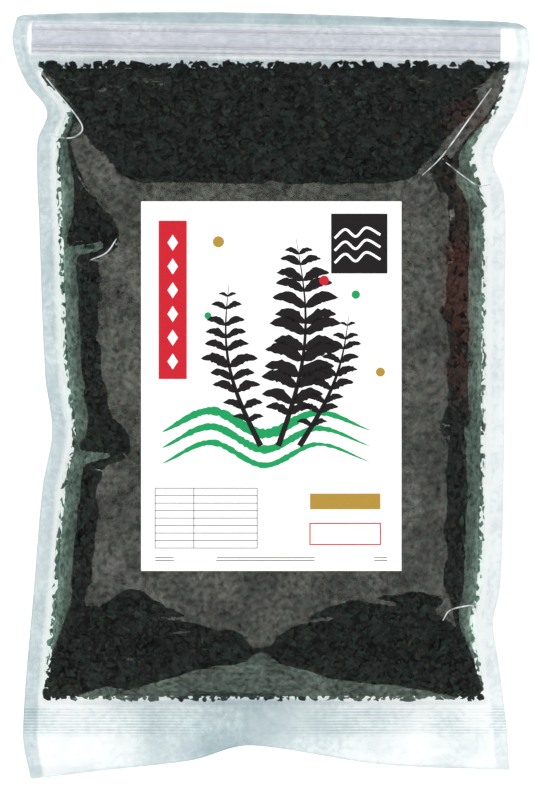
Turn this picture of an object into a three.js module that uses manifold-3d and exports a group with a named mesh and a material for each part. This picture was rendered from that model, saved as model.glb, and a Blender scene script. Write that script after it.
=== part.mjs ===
// A clear zip pouch, lying on its back, filled with dried cut wakame and with a paper label on its front.
// Millimetres, +Z up. X runs across the pouch and Y from its foot to its zip.
// The origin is on the surface that the pouch lies on, under the middle of its outline.
import * as THREE from "three";
import { mergeVertices } from "three/addons/utils/BufferGeometryUtils.js";
import Module from "manifold-3d";

const { clamp, lerp, smoothstep } = THREE.MathUtils;

// Driving dimensions
const RIM_HEIGHT = 26; // the welded rim, above the surface that the pouch lies on
const FRONT_RISE = 34; // the front film's plateau, above the rim
const FILM = 0.6; // film thickness as modelled: the real film is about 0.12
const GAP = 0.3; // clearance between neighbouring pieces
const SIDE_WELD = 9.5; // clear border along each side, outside the fill
const ZIP_LINE = 195; // Y where the fill ends, below the zip
const FOOT_LINE = -178; // Y of the foot weld
const LABEL_WIDTH = 148;
const LABEL_HEIGHT = 210;
const LABEL_THICKNESS = 0.4;
const LABEL_CENTRE_Y = 6;
const LABEL_GAP = 0.4; // from the film to the label's back

// The outline as seen from above: [y, x] along the sides, and [x, y] along the zip end and the foot
const LEFT_EDGE = [
  [-223, -140], [-196, -144], [-110, -137.5], [-52, -132.5], [-20, -127], [12, -131],
  [100, -134.5], [148, -135.5], [165.5, -130], [183, -142.5], [206, -150], [222, -147],
];
const RIGHT_EDGE = [
  [-217, 138.5], [-187, 136], [-152, 131.5], [-131, 128.5], [-112, 132.5], [-60, 134.5],
  [60, 135.5], [118, 135], [139, 128.5], [165, 141.5], [183, 147.5], [201, 150], [218, 147.5],
];
const TOP_EDGE = [[-150, 218.5], [-143, 221.5], [-47, 223], [17, 222], [104, 218.5], [143, 216.5], [150, 212.5]];
const FOOT_EDGE = [[-144, -223], [-100, -217.5], [-47, -210.5], [-18, -202], [2, -203], [63, -213.5], [140, -217]];

// Rows of points across the fill, which both films have: closer together by the welds and the nips in the sides
const SHARED_ROWS = [
  FOOT_LINE, -171, -162, -152, -141, -131, -121, -110, -90, -70, -52, -36, -20, -4, 12, 36, 60, 80, 100, 118,
  129, 139, 148, 157, 165.5, 174, 183, 189, ZIP_LINE,
];

const FILM_COLUMNS = 15;

// How fast the films leave the side welds: the distance in which they cover about two thirds of their way
const SIDE_REACH = 12.5;
const BACK_REACH = 14;
const BACK_PRESS = 1.15; // the back film would sink this far below the surface, which flattens it

// Slopes of the front film: an even ramp below the zip, a facet at each upper corner, and two slopes at the foot
const TOP_SLOPE = 0.447;
const CORNER_SLOPE = { across: 0.25, along: 0.235 };
const CORNER_START = [-143, 140]; // X where each corner facet would leave the rim, at the zip line
const FOOT_STEEP = 1.15;
const FOOT_SHALLOW = 0.46;
const FOOT_STEEP_WIDTH = [[-125, 2], [-82, 9], [-41, 22], [-12, 31], [0, 33], [34, 20], [98, 8], [130, 2]];
const HIP_BLEND = 5; // rounding of the ridges where the slopes meet
const SLOPE_STEP = 0.4; // distance over which a surface's slope is measured

// Large dents pressed into the front film: a line from one end to the other, the width to its left and its right
// as it is followed, and the depth
const DENTS = [
  { from: [-127, 89], to: [-84, 90], widths: [12, 6], depth: 9 },
  { from: [-124, -29], to: [-76, -30], widths: [12, 6], depth: 8 },
  { from: [-9, -122], to: [-2, -182], widths: [13, 9], depth: 7 },
  { from: [92, 138], to: [133, 116], widths: [6, 9], depth: 6 },
];
const DENT_LIMIT = 0.4; // a dent takes away at most this share of the film's rise

// The foot flap: how it droops and where one wave lifts it
const FLAP_LENGTH = 45;
const FLAP_DROOP = 7;
const FLAP_WAVE = { centre: -16, width: 42, lift: 24 };

// The zip: a tape with two ribs that snap into the two channels of the other tape
const ZIP_WIDTH = 18;
const ZIP_ENDS = [-139, 133];
const ZIP_TILT = -0.0145; // radians: the right end sits lower
const ZIP_CENTRE_Y = 206;
const TAPE = 0.5;
const RIB = { width: 1.4, height: 1.2, offset: 4.2 };
const CHANNEL_WALL = { width: 0.8, height: 1.2 };
const ZIP_PARTING = 1.9; // how far each film is pushed off the rim's middle by the zip
const LIP = 4; // the films come together again over this length at the mouth
const PARTING_RUN = 25; // they begin to part this far below the zip line
const PARTING_SIDE = 7; // and the parting reaches this far into the side welds

// The wakame: a packed body with a crumbly surface, and cut flakes that stand out of it
const BODY_INSET = 8; // from the side and foot welds to the packed body
const BODY_TOP_INSET = 14; // and from the zip line
const BODY_CLEARANCE = 4.6; // from the film to the packed body
const BODY_HALF_EDGE = 0.8; // half of its least thickness, at its edge
const STEEPEST = 0.5; // on steeper film the clearance is measured as if the film leaned at 60 degrees
const RELIEF = 1.7; // how far the crumbs rise and fall
const STAGGER = 0.3; // how far they are moved off an even grid, as a share of its cells
const FLAKE_THICKNESS = 0.8;
const FLAKE_MARGIN = 3; // a flake's middle stays this far inside the films
const TIP_INSET = 2.4; // and its corners this far inside the welds
const FLAKE_CURL = 0.22; // as a share of the width
const FLAKE_END_SHIFT = 0.12; // as a share of the length
const FLAKE_NARROWEST = 0.55; // as a share of the width
const FLAKE_END_TAPER = 0.8; // as a share of the width
const RIM_FLAKE = {
  spacing: 10, shift: 2, length: [12.5, 17], width: [6, 9.5], tip: [0.8, 4.5], turn: 0.45, tilt: 0.16,
};
const FRONT_FLAKE = {
  count: 136, inset: 11, endInset: 15, length: [10, 14], width: [7, 10], tilt: 0.1, depth: 3.2,
};
const FRONT_FLAKE_DENT = 1; // none of them lies in a dent deeper than this
const FOLDED = [-1, 0, 1]; // a flake with corners at both ends and along a fold in the middle
const TWISTED = [-1, 1]; // a flake with corners at its ends alone

function seededRandom(seed) {
  let state = seed;
  return () => {
    state = (state + 0x6d2b79f5) | 0;
    let mixed = Math.imul(state ^ (state >>> 15), 1 | state);
    mixed = (mixed + Math.imul(mixed ^ (mixed >>> 7), 61 | mixed)) ^ mixed;
    return ((mixed ^ (mixed >>> 14)) >>> 0) / 4294967296;
  };
}
const VERTICAL = new THREE.Vector3(0, 0, 1);
const random = seededRandom(11);
const between = (low, high) => lerp(low, high, random());
const either = (most) => between(-most, most);

// A smooth curve through [at, value] pairs: cubic pieces whose slopes come from the neighbouring points.
function through(points, at) {
  const last = points.length - 1;
  const held = clamp(at, points[0][0], points[last][0]);
  const found = points.findIndex((point) => point[0] >= held);
  const i = clamp(found - 1, 0, last - 1);
  const slope = (k) => {
    const before = points[Math.max(k - 1, 0)];
    const after = points[Math.min(k + 1, last)];
    return (after[1] - before[1]) / (after[0] - before[0]);
  };
  const [start, startValue] = points[i];
  const [end, endValue] = points[i + 1];
  const span = end - start;
  const t = (held - start) / span;
  const back = 1 - t;
  const ends = (1 + 2 * t) * back * back * startValue + t * t * (3 - 2 * t) * endValue;
  return ends + t * back * span * (back * slope(i) - t * slope(i + 1));
}

function softMin(a, b) {
  const overlap = Math.max(HIP_BLEND - Math.abs(a - b), 0) / HIP_BLEND;
  return Math.min(a, b) - (overlap * overlap * HIP_BLEND) / 4;
}

const fillLeft = (y) => through(LEFT_EDGE, y) + SIDE_WELD;
const fillRight = (y) => through(RIGHT_EDGE, y) - SIDE_WELD;
const bulge = (inset, reach) => 1 - Math.exp(-Math.max(inset, 0) / reach);

function dentDepth(x, y) {
  let depth = 0;
  for (const { from, to, widths, depth: full } of DENTS) {
    const run = new THREE.Vector2(to[0] - from[0], to[1] - from[1]);
    const away = new THREE.Vector2(x - from[0], y - from[1]);
    const along = away.dot(run) / run.lengthSq();
    const left = run.cross(away) / run.length();
    const window = along > 0 && along < 1 ? Math.sin(Math.PI * along) ** 2 : 0;
    depth += full * window * Math.exp(-((left / widths[left > 0 ? 0 : 1]) ** 2));
  }
  return depth;
}

// How far the front film stands above the rim: the lowest of its slopes, less the dents.
function frontRise(x, y) {
  const fromZip = ZIP_LINE - y;
  const fromFoot = y - FOOT_LINE;
  const sides = FRONT_RISE * bulge(softMin(x - fillLeft(y), fillRight(y) - x), SIDE_REACH);
  const corner = (start) => CORNER_SLOPE.across * Math.abs(x - start) + CORNER_SLOPE.along * fromZip;
  const steepWidth = through(FOOT_STEEP_WIDTH, x);
  const shallow = FOOT_STEEP * steepWidth + FOOT_SHALLOW * (fromFoot - steepWidth);
  const foot = softMin(FOOT_STEEP * fromFoot, shallow);
  const corners = softMin(corner(CORNER_START[0]), corner(CORNER_START[1]));
  const ends = softMin(softMin(TOP_SLOPE * fromZip, corners), foot);
  const rise = Math.max(softMin(sides, ends), 0);
  return rise - Math.min(dentDepth(x, y), rise * DENT_LIMIT);
}

function backDrop(x, y) {
  const inset = softMin(softMin(x - fillLeft(y), fillRight(y) - x), softMin(ZIP_LINE - y, y - FOOT_LINE));
  return RIM_HEIGHT * BACK_PRESS * bulge(inset, BACK_REACH);
}

// The films stay parted round the zip, and meet along the side welds and at the mouth.
function zipParting(x, y) {
  const side = Math.min(x - fillLeft(y), fillRight(y) - x);
  const mouth = through(TOP_EDGE, x) - y;
  const ends = smoothstep(mouth, 0, LIP) * smoothstep(y, ZIP_LINE - PARTING_RUN, ZIP_LINE);
  return ZIP_PARTING * smoothstep(side, -PARTING_SIDE, 0) * ends;
}

// The rim is level, apart from the flap below the foot weld.
function rimLevel(x, y) {
  const out = clamp((FOOT_LINE - y) / FLAP_LENGTH, 0, 1) ** 2;
  const wave = FLAP_WAVE.lift * Math.exp(-(((x - FLAP_WAVE.centre) / FLAP_WAVE.width) ** 2));
  return RIM_HEIGHT + out * (wave - FLAP_DROOP);
}

// Middle surfaces of the two films
const FILM_OFFSET = (FILM + GAP) / 2;
const frontFilm = (x, y) => rimLevel(x, y) + FILM_OFFSET + frontRise(x, y) + zipParting(x, y);
const backFilm = (x, y) => Math.max(rimLevel(x, y) - FILM_OFFSET - backDrop(x, y) - zipParting(x, y), FILM / 2);

function upwardNormal(surface, x, y) {
  const step = SLOPE_STEP;
  const slopeX = (surface(x + step, y) - surface(x - step, y)) / (2 * step);
  const slopeY = (surface(x, y + step) - surface(x, y - step)) / (2 * step);
  return new THREE.Vector3(-slopeX, -slopeY, 1).normalize();
}

// A point of a surface, moved along its upward normal
function offsetPoint(surface, x, y, offset) {
  const point = new THREE.Vector3(x, y, surface(x, y));
  return point.addScaledVector(upwardNormal(surface, x, y), offset);
}

// A closed solid between two like grids of points. Both faces are split into triangles alike.
function slab(upper, lower) {
  const rows = upper.length;
  const columns = upper[0].length;
  const positions = [...upper.flat(), ...lower.flat()].flatMap((point) => point.toArray());
  const at = (row, column) => row * columns + column;
  const under = rows * columns;
  const triangles = [];
  for (let row = 0; row < rows - 1; row += 1) {
    for (let column = 0; column < columns - 1; column += 1) {
      const [a, b] = [at(row, column), at(row, column + 1)];
      const [c, d] = [at(row + 1, column + 1), at(row + 1, column)];
      const pair = (row + column) % 2 ? [a, b, c, a, c, d] : [a, b, d, b, c, d];
      triangles.push(...pair, ...pair.map((corner) => under + corner).reverse());
    }
  }
  const edge = [];
  for (let column = 0; column < columns - 1; column += 1) edge.push(at(0, column));
  for (let row = 0; row < rows - 1; row += 1) edge.push(at(row, columns - 1));
  for (let column = columns - 1; column > 0; column -= 1) edge.push(at(rows - 1, column));
  for (let row = rows - 1; row > 0; row -= 1) edge.push(at(row, 0));
  edge.forEach((a, i) => {
    const b = edge[(i + 1) % edge.length];
    triangles.push(a, under + a, under + b, a, under + b, b);
  });
  const geometry = new THREE.BufferGeometry();
  geometry.setAttribute("position", new THREE.Float32BufferAttribute(positions, 3));
  return geometry.setIndex(triangles);
}

// Fractions from 0 to 1, closer together near both ends by the given share
function spread(count, share) {
  return Array.from({ length: count + 1 }, (_, i) => {
    const even = i / count;
    return lerp(even, 0.5 - 0.5 * Math.cos(Math.PI * even), share);
  });
}

// [x, y] grid of a whole film: the outline, the four weld lines and lines across the fill.
// Shared rows that are further apart than the largest step get more rows between them.
function filmGrid(largestStep) {
  const across = spread(FILM_COLUMNS, 0.85);
  const levels = SHARED_ROWS.slice(1).flatMap((end, i) => {
    const start = SHARED_ROWS[i];
    const steps = Math.ceil((end - start) / largestStep);
    return Array.from({ length: steps }, (_, step) => lerp(start, end, (step + 1) / steps));
  });
  const row = (yAt) => {
    const level = yAt(0);
    const inner = across.map((share) => lerp(fillLeft(level), fillRight(level), share));
    const xs = [fillLeft(level) - SIDE_WELD, ...inner, fillRight(level) + SIDE_WELD];
    return xs.map((x) => [x, yAt(x)]);
  };
  const flap = [0, 0.35, 0.7].map((share) => row((x) => lerp(through(FOOT_EDGE, x), FOOT_LINE, share)));
  const fill = [FOOT_LINE, ...levels].map((level) => row(() => level));
  const header = [0.25, 0.55, 0.82, 1].map((share) => row((x) => lerp(ZIP_LINE, through(TOP_EDGE, x), share)));
  return [...flap, ...fill, ...header];
}

function filmSheet(surface, grid) {
  const face = (offset) => grid.map((row) => row.map(([x, y]) => offsetPoint(surface, x, y, offset)));
  return slab(face(FILM / 2), face(-FILM / 2));
}

function labelSheet() {
  const lift = FILM / 2 + LABEL_GAP;
  const columns = spread(9, 0.3);
  const rows = spread(13, 0.3);
  const grid = rows.map((up) =>
    columns.map((across) => [(across - 0.5) * LABEL_WIDTH, LABEL_CENTRE_Y + (up - 0.5) * LABEL_HEIGHT]),
  );
  const face = (offset) => grid.map((row) => row.map(([x, y]) => offsetPoint(frontFilm, x, y, offset)));
  return slab(face(lift + LABEL_THICKNESS), face(lift));
}

// A zip tape, carried along X: its section is a strip with ridges on one face, at the given places and widths.
function zipTape(base, ridgeTop, ridges) {
  const half = ZIP_WIDTH / 2;
  const section = new THREE.Shape();
  const ridgeFoot = ridgeTop > base[0] ? base[1] : base[0];
  const plain = ridgeTop > base[0] ? base[0] : base[1];
  section.moveTo(-half, plain);
  section.lineTo(half, plain);
  section.lineTo(half, ridgeFoot);
  for (const [centre, width] of [...ridges].sort((a, b) => b[0] - a[0])) {
    section.lineTo(centre + width / 2, ridgeFoot);
    section.lineTo(centre + width / 2, ridgeTop);
    section.lineTo(centre - width / 2, ridgeTop);
    section.lineTo(centre - width / 2, ridgeFoot);
  }
  section.lineTo(-half, ridgeFoot);
  const geometry = new THREE.ExtrudeGeometry(section, { depth: ZIP_ENDS[1] - ZIP_ENDS[0], bevelEnabled: false });
  geometry.deleteAttribute("normal");
  geometry.deleteAttribute("uv");
  // The section's axes become Y and Z, and the extrusion's axis becomes X.
  geometry.applyMatrix4(new THREE.Matrix4().set(0, 0, 1, ZIP_ENDS[0], 1, 0, 0, 0, 0, 1, 0, 0, 0, 0, 0, 1));
  return geometry;
}

const wasm = await Module();
wasm.setup();

function toSolid(geometry) {
  const merged = mergeVertices(geometry, 1e-4);
  return new wasm.Manifold(
    new wasm.Mesh({
      numProp: 3,
      vertProperties: new Float32Array(merged.attributes.position.array),
      triVerts: new Uint32Array(merged.index.array),
    }),
  );
}

function toGeometry(solid) {
  const mesh = solid.getMesh();
  const geometry = new THREE.BufferGeometry();
  geometry.setAttribute("position", new THREE.BufferAttribute(mesh.vertProperties, 3));
  return geometry.setIndex(new THREE.BufferAttribute(mesh.triVerts, 1));
}

// Joins solids into one body. Scraps are dropped, and so are sealed hollows, which fills them.
function fuse(geometries) {
  const joined = wasm.Manifold.union(geometries.map(toSolid));
  const bodies = joined.decompose().sort((a, b) => b.volume() - a.volume());
  return toGeometry(bodies[0]);
}

const frontRoof = (x, y) => frontFilm(x, y) - FILM / 2;
const backFloor = (x, y) => backFilm(x, y) + FILM / 2;

// A cut flake: uneven corners in two rows, folded or twisted, with every corner kept inside the films.
function flake(centre, along, facing, length, width, ends) {
  const across = new THREE.Vector3().crossVectors(facing, along).normalize();
  const curl = either(FLAKE_CURL) * width;
  const middles = [-1, 1].map((side) =>
    ends.map((end) => {
      const reach = (end * length) / 2 + either(FLAKE_END_SHIFT) * length;
      const half = (side * width * between(FLAKE_NARROWEST, 1) * (end === 0 ? 1 : FLAKE_END_TAPER)) / 2;
      const point = centre.clone().addScaledVector(along, reach).addScaledVector(across, half);
      point.addScaledVector(facing, ends.length > 2 ? curl * (1 - 2 * Math.abs(end)) : curl * end * side);
      point.y = clamp(point.y, FOOT_LINE + TIP_INSET, ZIP_LINE - TIP_INSET);
      point.x = clamp(point.x, fillLeft(point.y) + TIP_INSET, fillRight(point.y) - TIP_INSET);
      const low = backFloor(point.x, point.y) + FLAKE_MARGIN;
      const high = frontRoof(point.x, point.y) - FLAKE_MARGIN;
      point.z = low < high ? clamp(point.z, low, high) : (low + high) / 2;
      return point;
    }),
  );
  const face = (offset) => middles.map((row) => row.map((p) => p.clone().addScaledVector(facing, offset)));
  return slab(face(FLAKE_THICKNESS / 2), face(-FLAKE_THICKNESS / 2));
}

// The packed body: it follows both films at a clearance, with a crumbly front and back.
function packedBody(columns, rows) {
  const across = spread(columns, 0.6);
  const up = spread(rows, 0.3);
  const onEdge = (row, column) => row === 0 || row === rows || column === 0 || column === columns;
  const places = up.map((share, row) =>
    across.map((step, column) => {
      const shift = onEdge(row, column) ? 0 : STAGGER;
      const y = lerp(FOOT_LINE + BODY_INSET, ZIP_LINE - BODY_TOP_INSET, share + either(shift) / rows);
      const x = lerp(fillLeft(y) + BODY_INSET, fillRight(y) - BODY_INSET, step + either(shift) / columns);
      return [x, y];
    }),
  );
  const face = (surface, side) =>
    places.map((line, row) =>
      line.map(([x, y], column) => {
        const crumb = onEdge(row, column) ? 0 : either(RELIEF);
        const clearance = BODY_CLEARANCE + FILM / 2 + crumb;
        const level = surface(x, y) + (side * clearance) / Math.max(upwardNormal(surface, x, y).z, STEEPEST);
        const edge = (frontFilm(x, y) + backFilm(x, y)) / 2 - side * BODY_HALF_EDGE;
        return new THREE.Vector3(x, y, side < 0 ? Math.max(level, edge) : Math.min(level, edge));
      }),
    );
  return slab(face(frontFilm, -1), face(backFilm, 1));
}

// Flakes that stand out of the packed body's side, all round, and give the fill its ragged outline.
function rimFlakes() {
  const made = [];
  const add = (x, y, outX, outY) => {
    const along = new THREE.Vector3(outX, outY, 0).applyAxisAngle(VERTICAL, either(RIM_FLAKE.turn));
    const length = between(...RIM_FLAKE.length);
    const tip = between(...RIM_FLAKE.tip);
    const centre = new THREE.Vector3(x, y, 0).addScaledVector(along, -(tip + length / 2));
    centre.z = (frontRoof(x - outX * tip, y - outY * tip) + backFloor(x - outX * tip, y - outY * tip)) / 2;
    const facing = new THREE.Vector3(either(RIM_FLAKE.tilt), either(RIM_FLAKE.tilt), 1).normalize();
    const level = along.clone().addScaledVector(facing, -along.dot(facing)).normalize();
    made.push(flake(centre, level, facing, length, between(...RIM_FLAKE.width), FOLDED));
  };
  const { spacing, shift } = RIM_FLAKE;
  for (let y = FOOT_LINE + BODY_INSET; y < ZIP_LINE - BODY_INSET; y += spacing) {
    const moved = either(shift);
    add(fillLeft(y + moved), y + moved, -1, 0);
    add(fillRight(y - moved), y - moved, 1, 0);
  }
  for (let x = fillLeft(ZIP_LINE) + BODY_INSET; x < fillRight(ZIP_LINE) - BODY_INSET; x += spacing) {
    add(x + either(shift), ZIP_LINE - shift, 0, 1);
  }
  for (let x = fillLeft(FOOT_LINE) + BODY_INSET; x < fillRight(FOOT_LINE) - BODY_INSET; x += spacing) {
    add(x + either(shift), FOOT_LINE, 0, -1);
  }
  return made;
}

// Flakes that lie under the front film, outside the label, half sunk in the packed body.
function frontFlakes() {
  const made = [];
  const { count, inset, endInset, tilt, depth } = FRONT_FLAKE;
  while (made.length < count) {
    const y = between(FOOT_LINE + endInset, ZIP_LINE - endInset);
    const x = between(fillLeft(y) + inset, fillRight(y) - inset);
    const underLabel = Math.abs(x) < LABEL_WIDTH / 2 && Math.abs(y - LABEL_CENTRE_Y) < LABEL_HEIGHT / 2;
    if (underLabel || dentDepth(x, y) > FRONT_FLAKE_DENT) continue;
    const facing = upwardNormal(frontFilm, x, y);
    facing.add(new THREE.Vector3(either(tilt), either(tilt), 0)).normalize();
    const along = new THREE.Vector3(either(1), either(1), 0);
    along.addScaledVector(facing, -along.dot(facing)).normalize();
    const centre = offsetPoint(frontFilm, x, y, -(FILM / 2 + depth));
    const length = between(...FRONT_FLAKE.length);
    made.push(flake(centre, along, facing, length, between(...FRONT_FLAKE.width), TWISTED));
  }
  return made;
}

function wakame() {
  return fuse([packedBody(20, 30), ...rimFlakes(), ...frontFlakes()]);
}

const clearFilm = new THREE.MeshStandardMaterial({
  color: 0xdfe8ea, roughness: 0.12, metalness: 0, transparent: true, opacity: 0.28,
});
const zipFilm = new THREE.MeshStandardMaterial({ color: 0xc4ceda, roughness: 0.3, metalness: 0 });
const paper = new THREE.MeshStandardMaterial({ color: 0xfbfbf9, roughness: 0.55, metalness: 0 });
const driedBlade = new THREE.MeshStandardMaterial({ color: 0x232b27, roughness: 0.7, metalness: 0 });

const pouch = new THREE.Group();

function addPiece(name, geometry, material, parent = pouch) {
  const mesh = new THREE.Mesh(geometry, material);
  mesh.name = name;
  parent.add(mesh);
}

addPiece("film_front", filmSheet(frontFilm, filmGrid(11)), clearFilm);
addPiece("film_back", filmSheet(backFilm, filmGrid(25)), clearFilm);
addPiece("label", labelSheet(), paper);
addPiece("wakame_flakes", wakame(), driedBlade);

const zip = new THREE.Group();
zip.position.set(0, ZIP_CENTRE_Y, RIM_HEIGHT);
zip.rotation.z = ZIP_TILT;
pouch.add(zip);
const ribTops = [-RIB.offset, RIB.offset].map((centre) => [centre, RIB.width]);
const wallStep = RIB.width / 2 + GAP + CHANNEL_WALL.width / 2;
const walls = ribTops.flatMap(([centre]) => [-1, 1].map((side) => [centre + side * wallStep, CHANNEL_WALL.width]));
const ribBase = CHANNEL_WALL.height / 2 + GAP;
const channelBase = -CHANNEL_WALL.height / 2;
addPiece("zip_rib_tape", zipTape([ribBase, ribBase + TAPE], ribBase - RIB.height, ribTops), zipFilm, zip);
addPiece("zip_channel_tape", zipTape([channelBase - TAPE, channelBase], -channelBase, walls), zipFilm, zip);

// The origin goes under the middle of the outline.
const box = new THREE.Box3().setFromObject(pouch);
const middle = box.getCenter(new THREE.Vector3());
pouch.position.set(-middle.x, -middle.y, 0);

export default pouch;
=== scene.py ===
"""Looks of a clear zip pouch packed with dried cut wakame, on its back, with a paper label on its front."""

import bpy
import numpy as np
from bpy.props import FloatProperty, FloatVectorProperty, IntProperty, PointerProperty
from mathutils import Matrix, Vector


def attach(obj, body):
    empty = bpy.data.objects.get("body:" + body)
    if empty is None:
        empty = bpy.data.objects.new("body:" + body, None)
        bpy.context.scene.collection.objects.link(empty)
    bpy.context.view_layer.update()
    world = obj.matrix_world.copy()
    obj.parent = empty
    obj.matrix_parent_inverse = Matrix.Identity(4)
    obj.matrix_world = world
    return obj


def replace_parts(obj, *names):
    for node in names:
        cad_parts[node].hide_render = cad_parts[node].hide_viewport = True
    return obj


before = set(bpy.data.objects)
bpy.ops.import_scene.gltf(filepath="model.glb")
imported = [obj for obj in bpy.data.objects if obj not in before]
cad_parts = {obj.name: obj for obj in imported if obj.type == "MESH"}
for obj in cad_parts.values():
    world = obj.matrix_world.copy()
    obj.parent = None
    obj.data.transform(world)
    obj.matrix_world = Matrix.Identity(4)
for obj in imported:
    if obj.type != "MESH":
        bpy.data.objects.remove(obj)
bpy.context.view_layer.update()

bl_info = {
    "name": "Wakame pouch",
    "version": (1, 0, 0),
    "blender": (4, 5, 0),
    "location": "View3D > Sidebar > Wakame pouch",
    "description": "Builds the looks of a clear zip pouch of dried cut wakame round its packed solids",
    "category": "Add Mesh",
}

MM = 0.001
ROOT = "root"

# Sizes of the pouch, in millimetres. The foot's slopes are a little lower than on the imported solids
SIDE_WELD = 9.5
ZIP_LINE = 195
FOOT_LINE = -178
FILM_HALF_STEP = 0.45  # from the rim's middle to the middle of each film
LABEL_WIDTH = 148
LABEL_HEIGHT = 210
LABEL_CENTRE_Y = 6
LABEL_RISE = 0.9  # from the middle of the front film to the middle of the label
LABEL_PAPER = 0.4
LABEL_GRID = (56, 80)
INK_GAP = 0.02  # under the first ink
INK_STEP = 0.05  # from one ink's underside to the next one's
INK_THICKNESS = 0.04

# The outline as seen from above: (y, x) along the sides, and (x, y) along the zip end and the foot
LEFT_EDGE = [
    (-223, -140), (-196, -144), (-110, -137.5), (-52, -132.5), (-20, -127), (12, -131),
    (100, -134.5), (148, -135.5), (165.5, -130), (183, -142.5), (206, -150), (222, -147),
]
RIGHT_EDGE = [
    (-217, 138.5), (-187, 136), (-152, 131.5), (-131, 128.5), (-112, 132.5), (-60, 134.5),
    (60, 135.5), (118, 135), (139, 128.5), (165, 141.5), (183, 147.5), (201, 150), (218, 147.5),
]
TOP_EDGE = [(-150, 218.5), (-143, 221.5), (-47, 223), (17, 222), (104, 218.5), (143, 216.5), (150, 212.5)]
FOOT_EDGE = [(-144, -223), (-100, -217.5), (-47, -210.5), (-18, -202), (2, -203), (63, -213.5), (140, -217)]

# How the films leave the welds, and the slopes of the front film
SIDE_REACH = 12.5
BACK_REACH = 14
BACK_PRESS = 1.15
TOP_SLOPE = 0.447
CORNER_ACROSS = 0.25
CORNER_ALONG = 0.235
CORNER_START = (-143, 140)
FOOT_STEEP = 0.98
FOOT_SHALLOW = 0.365
FOOT_STEEP_WIDTH = [
    (-125, 2), (-108, 9), (-95, 14), (-82, 11.5), (-64, 17), (-49, 22), (-32, 27), (-18, 28),
    (-6, 36), (5, 29), (15, 25), (39, 18), (62, 15), (82, 12.5), (112, 5.5), (130, 2),
]
HIP_BLEND = 1.6  # rounding of the ridges where slopes meet, crisper than on the solids
DENT_LIMIT = 0.4
FLAP_LENGTH = 45
FLAP_DROOP = 7
FLAP_WAVE_CENTRE = -16
FLAP_WAVE_WIDTH = 42
FLAP_WAVE_LIFT = 24
PARTING = 1.9
PARTING_RUN = 25
PARTING_SIDE = 7
LIP = 4

# Large dents: start, end, width to the left and to the right of the line as it is followed, depth
DENTS = [
    ((-127, 89), (-84, 90), 12, 6, 9),
    ((-124, -29), (-76, -30), 12, 6, 8),
    ((92, 138), (133, 116), 6, 9, 6),
]

# Folds of the front film: start, end, half width, height of the crest or, below zero, depth of the groove
FOLDS = [
    ((-110, 158), (-95, 116), 6, 0.3),
    ((-107, 152), (-86, 90), 6, 0.4),
    ((-99, 80), (-80, 36), 9, 0.9),
    ((-124, 78), (-98, 55), 8, 1.1),
    ((-122, 40), (-90, 29), 7, 1.0),
    ((-123, 7), (-92, 2), 7, -1.8),
    ((-117, -46), (-84, -72), 10, 1.1),
    ((-122, -94), (-93, -141), 9, 1.1),
    ((-94, -140), (-68, -171), 8, 1.0),
    ((-82, -127), (-18, -131), 3.2, 0.6),
    ((-72, -138), (-26, -134), 3.2, 0.5),
    ((12, -131), (44, -127), 3.2, 0.6),
    ((42, -116), (82, -122), 3.2, 0.6),
    ((48, -122), (84, -134), 3.0, 0.5),
    ((80, 57), (100, 38), 9, 0.8),
    ((97, -7), (128, -26), 8, -2.0),
    ((78, -12), (116, -36), 8, 1.3),
    ((80, -70), (122, -97), 9, 1.0),
    ((92, -118), (124, -150), 14, 2.6),
    ((84, 86), (118, 66), 9, 0.8),
]
FOLD_CREST = 0.7  # radius of a fold's crest
FOLD_FADE = 12  # height above the rim at which folds are at their full height
LABEL_MARGIN = (1.5, 10)  # folds begin, and are at their full height, this far outside the label
MINOR_FOLDS = 90
MINOR_FOLD_AREA = ((-122, 122), (-172, 185))  # ranges of x and of y
MINOR_FOLD_REACH = (7, 16)  # half of a fold's length
MINOR_FOLD_WIDTH = (3.5, 7)
MINOR_FOLD_HEIGHT = 0.45
FRONT_GRID = (180, 262)  # columns and rows of each film's mesh
BACK_GRID = (110, 160)
OUTLINE_CLOSER = (0.35, 0.25)  # how much closer the columns and rows stand near the edges
OUTLINE_ROUNDS = 4
FILL_CLOSER = (0.5, 0.3)
WELD_SPACING = 1.75  # between the fine lines of the foot weld
WAVE_PERIOD = np.pi / 10  # length of one band of Blender's wave texture at a scale of 1
FILM_REFLECTANCE = 0.04  # of one face, looked at square on: an index of 1.5
LUMP_CELL = 9  # spacing of the lumps that the flakes press into the film
LUMP_HEIGHT = 0.14

# Haze of the film, from 0 for clear to 1 for cloudy
SIDE_HAZE = (0.36, 0.18)  # of the left and the right weld
HEADER_HAZE = 0.5
BELOW_ZIP_HAZE = 0.3
FLAP_HAZE = 0.1
FLAP_MIDDLE_HAZE = 0.34
FLAP_MIDDLE_WIDTH = 60
FLAP_PATCH_HAZE = 0.08
FLAP_PATCH = 17  # spacing of the cloudy patches of the flap
HEM_HAZE = 0.3
WELD_STRIP = (-20, -16, -3, -1)  # where the weld lines fade in and out, from the foot line
WELD_LINES = 0.16  # strength of the weld lines
WELD_PATCH_LINES = 0.1
WELD_PATCH = 26
WELD_MIDDLE = (-10, 40)  # place and width of the stretch where they are faint

# Where the film is folded over on itself: (x, y) along each white line, a painted highlight
FOLD_LINES = [
    [(-138, 194), (-122, 174), (-109, 156.5), (-111, 150), (-118, 148.5), (-129, 152)],
    [(100, 134), (110, 127), (119, 122), (127, 123)],
    [(-103, 78), (-94, 82), (-88, 90)],
    [(98, -128), (102, -122), (112, -120), (121, -121)],
    [(127, 178), (114, 160), (98, 138), (86, 126)],
]
FOLD_LINE_RADIUS = 0.45
FOLD_LINE_LIFT = 0.25
FOLD_LINE_STEPS = 16  # points along a line for each of those given

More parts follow.
